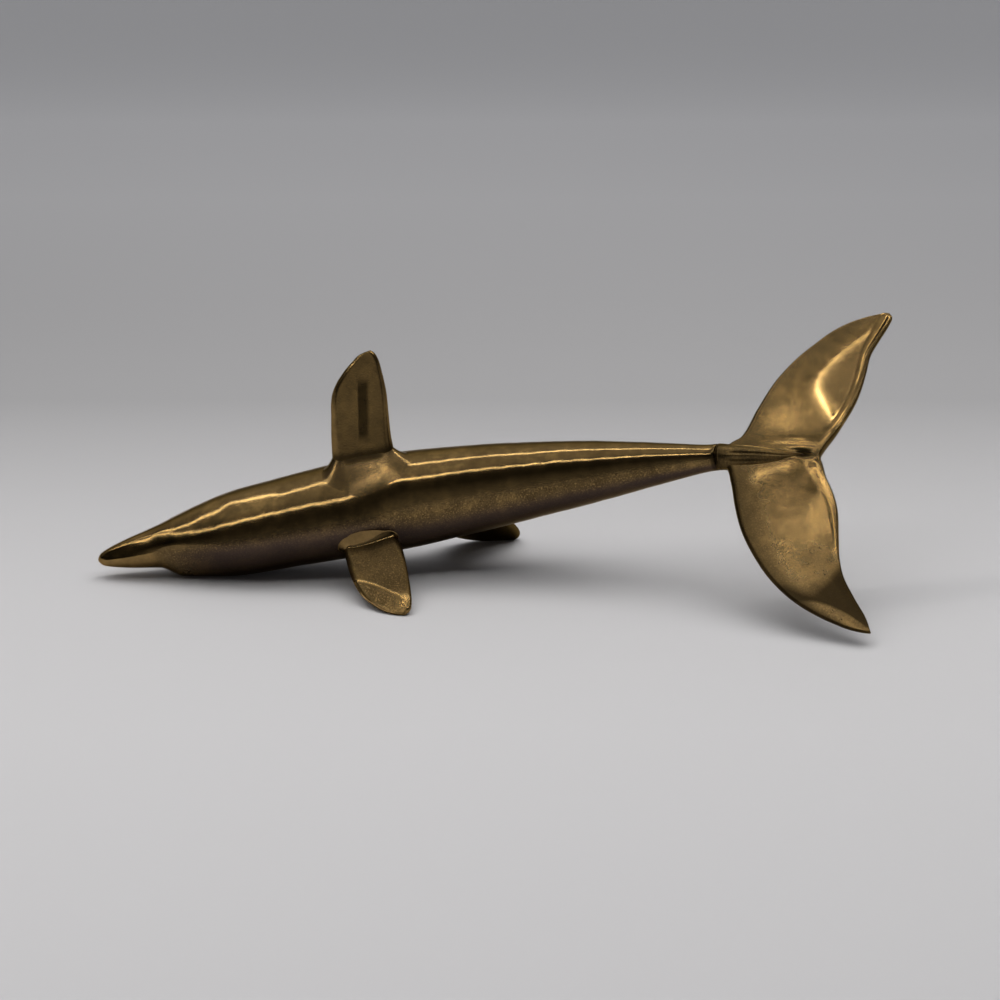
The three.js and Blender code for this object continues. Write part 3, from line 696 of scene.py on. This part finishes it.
def hill(side, back, middle, size):
    """Hill of height 1: a bell over each of the two distances from its middle."""
    return bell(side - middle[0], size[0]) * bell(back - middle[1], size[1])


# Lines on the left lobe: the crest, along which a highlight is painted with the wear, and the front of the
# scoop in axes turned by a cosine and a sine
CREST = [[10, 33], [15.2, 29.5], [18.8, 26.8], [22, 24.2], [25.5, 23.5], [29, 24.8], [33.5, 28],
         [40.9, 35.1], [45.7, 40.7], [50, 44]]
SCOOP_FRONT = [[25, 9.5], [30, 12.2], [34.9, 15.4], [39.7, 18.2], [49.3, 22.3], [56.4, 24.8], [62, 26.5]]
SCOOP_AXES = (0.9, 0.433)
LOBE_SCOOP, SCOOP_SOFT = 0.085, 3.2
# Lines on the right lobe: the rim, both ends of the shade before the tip, and the fold beside the keel
RIGHT_RIM = [[1.1, 23.6], [6.3, 25.9], [9.4, 27.5], [13, 29.4], [16.7, 30.7], [20.7, 31.5], [24.4, 32.1],
             [32, 33]]
SHADE_START = [[23.3, 43.2], [26.5, 42.1], [29.1, 40.7], [31.2, 38.4], [32.7, 36.2], [34, 34]]
FACET_EDGE = [[24.8, 44.6], [28.8, 44.9], [32.2, 45.8], [35.7, 47.3], [38.8, 49.2], [41.6, 51.3]]
KEEL_FOLD = [[8.2, 7.7], [14.9, 5.1], [19.8, 2.7]]
FOLD_RUN = (5, 10, 17, 22)
# Two small folds at the left lobe's root, and the slit at the crotch
ROOT_FOLD, INNER_FOLD = (4.9, 19.3), (3, 19.8)
SLIT_DEPTH, SLIT_AT, SLIT_SIZE = 0.9, (0.6, 21.8), (0.7, 1.9)


def left_lobe(side, back, trail):
    """Left lobe's belly face: a scoop that slopes down from a bent front edge, a dish, folds at the root and
    a lip."""
    near, far = SCOOP_AXES
    ahead, behind = near * side - far * back, far * side + near * back
    scoop = -LOBE_SCOOP * past_edge(along(SCOOP_FRONT, behind) - ahead, SCOOP_SOFT) * ease(behind, 26, 33)
    dish = -0.28 * hill(side, back, (8.3, 17), (6, 7))
    folds = 0.45 * hill(side, back, ROOT_FOLD, (1.0, 5.5)) + 0.35 * hill(side, back, INNER_FOLD, (0.7, 4))
    lip = 0.35 * bell(trail - back - 1.9, 0.9) * ease(side, 4, 9)
    return (scoop + dish + folds + lip) * (side > 0)


def tip_shade(span, back):
    """Shallow hollow and painted shade before the right lobe's tip: 1 between a soft bent line and the sharp
    edge of the tip's facet."""
    past_start, past_facet = span - along(SHADE_START, back), span - along(FACET_EDGE, back)
    return ease(past_start, -5.0, 3.5) * (1 - ease(past_facet, -0.8, 0.8))


def right_lobe(span, back, lead, trail):
    """Right lobe's belly face: a long hollow up to a rim, a valley under the rim, a shade at the tip, and a
    fold at the keel that is steeper on the keel's side."""
    share = np.clip((back - lead) / (trail - lead), 0, 1)
    hollow = -0.4 * between(share, 0, 0.6, 0.82, 0.97) * between(span, 2, 22, 34, 50)
    rim_width = 1.5 - 0.8 * ease(span, 8, 22)
    rim = 0.5 * bell(back - along(RIGHT_RIM, span), rim_width) * between(span, 1, 4, 24, 32)
    valley = -0.12 * hill(span, back, (12.5, 25), (4, 3))
    shade = -0.08 * tip_shade(span, back)
    inside = along(KEEL_FOLD, back) - span
    fold = 0.07 * bell(inside, np.where(inside > 0, 2.2, 4.5)) * between(back, *FOLD_RUN)
    return (hollow + rim + valley + shade + fold) * (span > 0)


def lobe_slice(side):
    """Distance back and height of the blade at distances to the left of the keel: faces between rolled edges,
    the belly face with its relief, which fades out at the edges."""
    lead, trail, half = fluke_edges(side)
    run, chord, lift = slice_ring(LOBE_FACE, LOBE_EDGE)
    round_ = np.minimum(half, (trail - lead) / 2)
    thin = TRAIL_ROUND * round_
    back = lead + round_ + (trail - thin - lead - round_) * (run + 1) / 2
    back = back + np.where(chord < 0, round_, thin) * chord
    inside = np.clip(np.minimum(back - lead, trail - back) / (1.2 * round_), 0, 1) * (lift > 0)
    relief = left_lobe(side, back, trail) + right_lobe(-side, back, lead, trail)
    relief = relief - SLIT_DEPTH * hill(side, back, SLIT_AT, SLIT_SIZE)
    return back, round_ * lift + inside * relief + TIP_CURL * np.maximum(-side - CURL_START, 0) ** 2


# Rows lie closer together towards both tips
share = np.sin(np.linspace(-0.995, 0.995, LOBE_ROWS) * np.pi / 2)[:, None]
side = np.where(share > 0, LEFT_SPAN, RIGHT_SPAN) * share
back, height = lobe_slice(side)
lobes = (fluke_root + side[..., None] * fluke_left + back[..., None] * fluke_back
         + height[..., None] * fluke_belly)

# Worn crest, dish, folds and rims, also painted as highlights; stain, partly painted shade, in the hollows,
# at the right lobe's root and before its tip
span = -side
lead, trail, _ = fluke_edges(side)
share = np.clip((back - lead) / (trail - lead), 0, 1)
# Painted highlight, with the wear, along the crest
crest_highlight = bell(back - along(CREST, side) + 0.7, 2.8) * ease(side, 9, 13)
dish = hill(side, back, (12.8, 16), (6.5, 6))
folds = hill(side, back, ROOT_FOLD, (1.2, 6)) + hill(side, back, INNER_FOLD, (0.9, 4.5))
# Painted highlight, with the wear, along the rims
rim_wear_and_highlight = (bell(trail - back - 2.2, 0.9) * ease(side, 4, 9)
            + bell(back - along(RIGHT_RIM, span), 1.3) * between(span, 1, 4, 26, 34))
# Painted highlight along the fold beside the keel
keel_fold_highlight = bell(span - 8.2 + 0.42 * (back - 6.5), 1.6) * between(back, *FOLD_RUN)
# Stain that also paints the lobes' shade, darkest before the right lobe's tip
left_stain_and_shade = (0.55 - 0.5 * dish - 0.6 * crest_highlight - 0.5 * folds
              - 0.3 * (1 - ease(back - lead, 4, 10)) * ease(side, 16, 26))
right_stain_and_shade = (0.75 - 0.65 * ease(share, 0.03, 0.55) + 0.4 * ease(span, 20, 31) * ease(share, 0.25, 0.6)
               + 0.6 * tip_shade(span, back) + 0.1 * ease(span, 42, 48)
               + 0.4 * (1 - ease(span, 3, 9)) * ease(share, 0.2, 0.5) * (1 - ease(back, 20, 24))
               - 0.6 * keel_fold_highlight)
slit_stain = 0.6 * hill(side, back, (0.4, 21.8), (0.8, 2.2))
lobe_marks = {
    "sand": np.clip(0.35 + 0.4 * dish + 0.2 * ease(span, 2, 10) - 0.35 * crest_highlight, 0, 1),
    "wear_and_highlight": np.clip(0.25 + 0.7 * crest_highlight + 0.5 * folds + 0.7 * rim_wear_and_highlight + 0.6 * dish, 0, 1),
    "stain_and_shade": np.clip(np.where(side > 0, left_stain_and_shade, right_stain_and_shade) - 0.6 * rim_wear_and_highlight + slit_stain, 0, 0.95),
}
fit(skin("tail_flukes_lobes", lobes, lobe_marks), brass, "tail_flukes")

KEEL_LENGTH, KEEL_ROWS = 23.0, 120
# Along the keel: half width, height above the middle, and how far it lies to the left
KEEL_HALF = [[0, stock_radius], [0.16, 3.7], [0.47, 3.0], [0.7, 1.9], [0.9, 0.8], [1, 0.4]]
KEEL_HIGH = [[0, stock_radius], [0.16, 4.0], [0.47, 3.5], [0.7, 2.8], [0.9, 2.2], [1, 0.4]]
KEEL_SIDE = [[0, 0], [0.16, -0.5], [0.47, -0.4], [0.7, -0.1], [0.9, 0.7], [1, 0.8]]
GROOVE_DEPTH, RIDGE_RISE = 0.09, 0.07
keel_start = joint_point + JOINT_SHOULDER * joint_tail
keel_end = fluke_root + KEEL_LENGTH * fluke_back
keel_line = np.array([keel_start, keel_start + joint_tail * KEEL_LENGTH / 3,
                      keel_end - fluke_back * KEEL_LENGTH / 3, keel_end])
run = np.linspace(0, 1, KEEL_ROWS)
point, _, left, belly = (part[:, None] for part in carried_axes(keel_line, run))
# Two grooves along the belly side of the keel, cut by the corner of a file, and a ridge to their left that is
# worn and painted as a highlight line
grooves = bell(around - 3.75, 0.16) + 0.8 * bell(around - 3.25, 0.14)
ridge = bell(around - 2.3, 0.13)
swell = 1 - (GROOVE_DEPTH * grooves - RIDGE_RISE * ridge) * between(run, 0.08, 0.2, 0.75, 0.9)[:, None]
width = along(KEEL_SIDE, run)[:, None] + along(KEEL_HALF, run)[:, None] * swell * np.sin(around)
high = along(KEEL_HIGH, run)[:, None] * swell * np.cos(around)
keel = point + width[..., None] * left - high[..., None] * belly
keel = np.concatenate([shoulder(1)[::-1], keel])
keel_rows = np.concatenate([np.zeros(SHOULDER_ROWS), run])[:, None] + 0 * around
keel_marks = {
    "sand": 0.8 - 0.6 * ridge + 0 * keel_rows,
    # The ridge's wear is partly a painted highlight line
    "wear_and_highlight": 0.8 * ridge + 0 * keel_rows,
    "stain_and_shade": (0.5 + 0.2 * (1 - ease(keel_rows, 0, 0.1))) * (1 - ridge),
}
fit(skin("tail_flukes_keel", keel, keel_marks), brass, "tail_flukes")

# ---- Tail brazing ------------------------------------------------------------------------------------
# A ring of brazing metal in the groove between stock and keel, run in from the back.
# It never filled the groove on the belly, so a dark line is left there.

SEAM_COLUMNS, SEAM_HALF, SEAM_THICK, SEAM_SUNK = 18, 0.9, 0.35, 0.38

# An oval carried round the joint: its first row stands at the end once more, where the fans close it
steps = np.linspace(0, 2 * np.pi, SEAM_COLUMNS, endpoint=False)[:, None]
filled = stock_radius - joint_depth(around) - SEAM_SUNK
seam = (joint_point + (SEAM_HALF * np.cos(steps))[..., None] * joint_tail
        + (filled + SEAM_THICK * np.sin(steps))[..., None] * joint_spokes).transpose(1, 0, 2)
seam = np.concatenate([seam, seam[:1]])
even = np.ones(seam.shape[:2])
seam_marks = {"sand": 0.8 * even, "wear_and_highlight": 0 * even, "stain_and_shade": 0.85 * even}
fit(skin("tail_braze_ring", seam, seam_marks), braze, "tail_braze")

# ---- Pins --------------------------------------------------------------------------------------------
# Four dowels cut from drawn brass rod, pressed half into the body and half into a fin or the flukes.
# They stay hidden inside the joints.

rod = cast_brass("drawn_rod", (0.3, 0.2, 0.085), (0.36, 0.245, 0.105), (0.45, 0.31, 0.14), 0.3)
for name in PIN_NAMES:
    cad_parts[name].data.materials.clear()
    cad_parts[name].data.materials.append(rod)

# ---- Floor -------------------------------------------------------------------------------------------
# A wide sheet of matt grey paper under the figure; its grey, pale at the front and darker behind, is a
# painted falloff of the light.
# It lies flat in the whole picture, and is rolled up far away at the sides and at the back.

SHEET_FRONT, SHEET_BACK, SHEET_HALF = -6, 10, 10
SHEET_ROWS, SHEET_COLUMNS = 60, 40
FLAT_TO, ROLL_RISE, SHEET_BELOW = 5, 0.09, 0.00002
PAPER_TINT = (0.99, 0.99, 1.03)
# The painted falloff: the paper's greys from the first to the last of two distances back
SHADE_FROM, SHADE_TO = -0.1, 1.4
FALLOFF_GREYS = [(0.0, 0.64), (0.06, 0.61), (0.108, 0.565), (0.155, 0.5), (0.215, 0.42), (0.29, 0.44),
         (0.356, 0.47), (0.611, 0.62), (1.0, 0.76)]


def map_range(tree, value, start, end, low=0.0, high=1.0, kind="LINEAR"):
    """A value between start and end, carried over to low and high and held beyond them."""
    inputs = {"Value": value, "From Min": start, "From Max": end, "To Min": low, "To Max": high}
    return add_node(tree, "MapRange", inputs, interpolation_type=kind).outputs[0]


depth = np.linspace(SHEET_FRONT, SHEET_BACK, SHEET_ROWS)[:, None]
breadth = np.linspace(-SHEET_HALF, SHEET_HALF, SHEET_COLUMNS)[None, :]
rise = ROLL_RISE * (np.maximum(np.abs(breadth) - FLAT_TO, 0) ** 2 + np.maximum(depth - FLAT_TO, 0) ** 2)
sheet = np.stack([breadth + 0 * depth, depth + 0 * breadth, rise - SHEET_BELOW], -1).reshape(-1, 3)
paper = bpy.data.meshes.new("floor")
paper.from_pydata(sheet, [], grid_faces(SHEET_ROWS, SHEET_COLUMNS, False))
matt = bpy.data.materials.new("matt_paper")
matt.use_nodes = True
tree = matt.node_tree
shader = tree.nodes["Principled BSDF"]
shader.inputs["Roughness"].default_value = 0.9
shader.inputs["Specular IOR Level"].default_value = 0.1
place = add_node(tree, "SeparateXYZ", {0: add_node(tree, "TexCoord", {}).outputs["Object"]})
# Painted falloff of the light, pale in front and darker behind
shade = ramp(tree, map_range(tree, place.outputs["Y"], SHADE_FROM, SHADE_TO),
             [(position, tuple(grey * part for part in PAPER_TINT)) for position, grey in FALLOFF_GREYS])
tree.links.new(shade, shader.inputs["Base Color"])
paper.materials.append(matt)
floor = set_down("floor", paper)

# ---- Light -------------------------------------------------------------------------------------------
# Four thin strip lamps in a ring overhead, turned a little to the figure, under a soft ceiling.
# A broad panel above and behind lights the floor, and the metal does not mirror it. The room behind the
# camera is dark above a bright skyline, and it is dimmer to both sides.

RING_HEIGHT, RING_TURN, STRIP_WIDTH, STRIP_GLOW = 0.45, np.radians(17.2), 0.012, 19.0
RING_MIDDLE, RING_LENGTH, RING_WIDTH = (-0.085, -0.035), 0.95, 0.306
STRIP_COLOUR, PANEL_COLOUR = (1.0, 0.97, 0.92), (1.0, 0.98, 0.95)
PANEL_LENGTH, PANEL_WIDTH, PANEL_ENERGY, PANEL_PLACE = 1.5, 0.9, 4.6, (-0.05, 0.25, 1.2)


def hang_lamp(name, length, width, energy, colour, place, turned=0.0):
    """Rectangular lamp that faces down, turned about the upright."""
    lamp = bpy.data.lights.new(name, "AREA")
    lamp.shape = "RECTANGLE"
    lamp.size, lamp.size_y = length, width
    lamp.energy = energy
    lamp.color = colour
    holder = set_down(name, lamp)
    holder.location = place
    holder.rotation_euler = (0, 0, turned)
    return holder


ahead = np.array([np.cos(RING_TURN), np.sin(RING_TURN)])
beside = np.array([-ahead[1], ahead[0]])
strips = [
    ("strip_back", beside * RING_WIDTH / 2, RING_LENGTH, 0),
    ("strip_front", -beside * RING_WIDTH / 2, RING_LENGTH, 0),
    ("strip_right", ahead * RING_LENGTH / 2, RING_WIDTH, np.pi / 2),
    ("strip_left", -ahead * RING_LENGTH / 2, RING_WIDTH, np.pi / 2),
]
for name, offset, length, quarter in strips:
    energy = STRIP_GLOW * np.pi * length * STRIP_WIDTH
    place = (RING_MIDDLE[0] + offset[0], RING_MIDDLE[1] + offset[1], RING_HEIGHT)
    hang_lamp(name, length, STRIP_WIDTH, energy, STRIP_COLOUR, place, RING_TURN + quarter)
panel = hang_lamp("panel", PANEL_LENGTH, PANEL_WIDTH, PANEL_ENERGY, PANEL_COLOUR, PANEL_PLACE)
panel.visible_glossy = False

# The room's greys, from the skyline behind the camera (0) over the top to the one behind the figure (1)
ROOM = [(0.0, 0.75), (0.045, 0.48), (0.09, 0.26), (0.14, 0.12), (0.2, 0.05), (0.28, 0.05), (0.33, 0.08),
        (0.38, 0.3), (0.43, 0.56), (0.5, 0.64), (0.6, 0.66), (0.68, 0.72), (0.76, 0.6), (0.88, 0.3),
        (1.0, 0.15)]
world = bpy.data.worlds.new("studio")
bpy.context.scene.world = world
world.use_nodes = True
tree = world.node_tree
toward = add_node(tree, "SeparateXYZ", {0: add_node(tree, "TexCoord", {}).outputs["Generated"]}).outputs
climb = maths(tree, "ARCTAN2", toward["Z"], maths(tree, "MULTIPLY", toward["Y"], -1))
room = ramp(tree, maths(tree, "DIVIDE", climb, np.pi), [(position, (grey,) * 3) for position, grey in ROOM])
low = map_range(tree, toward["Z"], 0.0, 0.6, 0.4, 1.0, "SMOOTHSTEP")
wide = maths(tree, "ABSOLUTE", toward["X"], 0)
sides = map_range(tree, wide, 0.35, 0.85, 1.0, 0.2, "SMOOTHSTEP")
tree.links.new(room, tree.nodes["Background"].inputs["Color"])
tree.links.new(maths(tree, "MULTIPLY", low, sides), tree.nodes["Background"].inputs["Strength"])
bpy.context.scene.view_settings.view_transform = "Standard"

# ---- Camera ------------------------------------------------------------------------------------------
# A long lens on the figure's belly side, looking down on it by about eighteen degrees.
# Its place and aim give the figure the size and place in the frame that the photograph gives it.

EYE = np.array([0.00258, -0.48771, 0.18261])
AIM = np.array([0.00258, 0.03563, 0.01548])
SENSOR, FOCAL_LENGTH = 36, 63

lens = bpy.data.cameras.new("camera")
lens.sensor_fit = "HORIZONTAL"
lens.sensor_width = SENSOR
lens.lens = FOCAL_LENGTH
camera = set_down("camera", lens)
camera.location = EYE
camera.rotation_euler = (np.pi / 2 - np.arctan2(EYE[2] - AIM[2], AIM[1] - EYE[1]), 0, 0)
bpy.context.scene.camera = camera
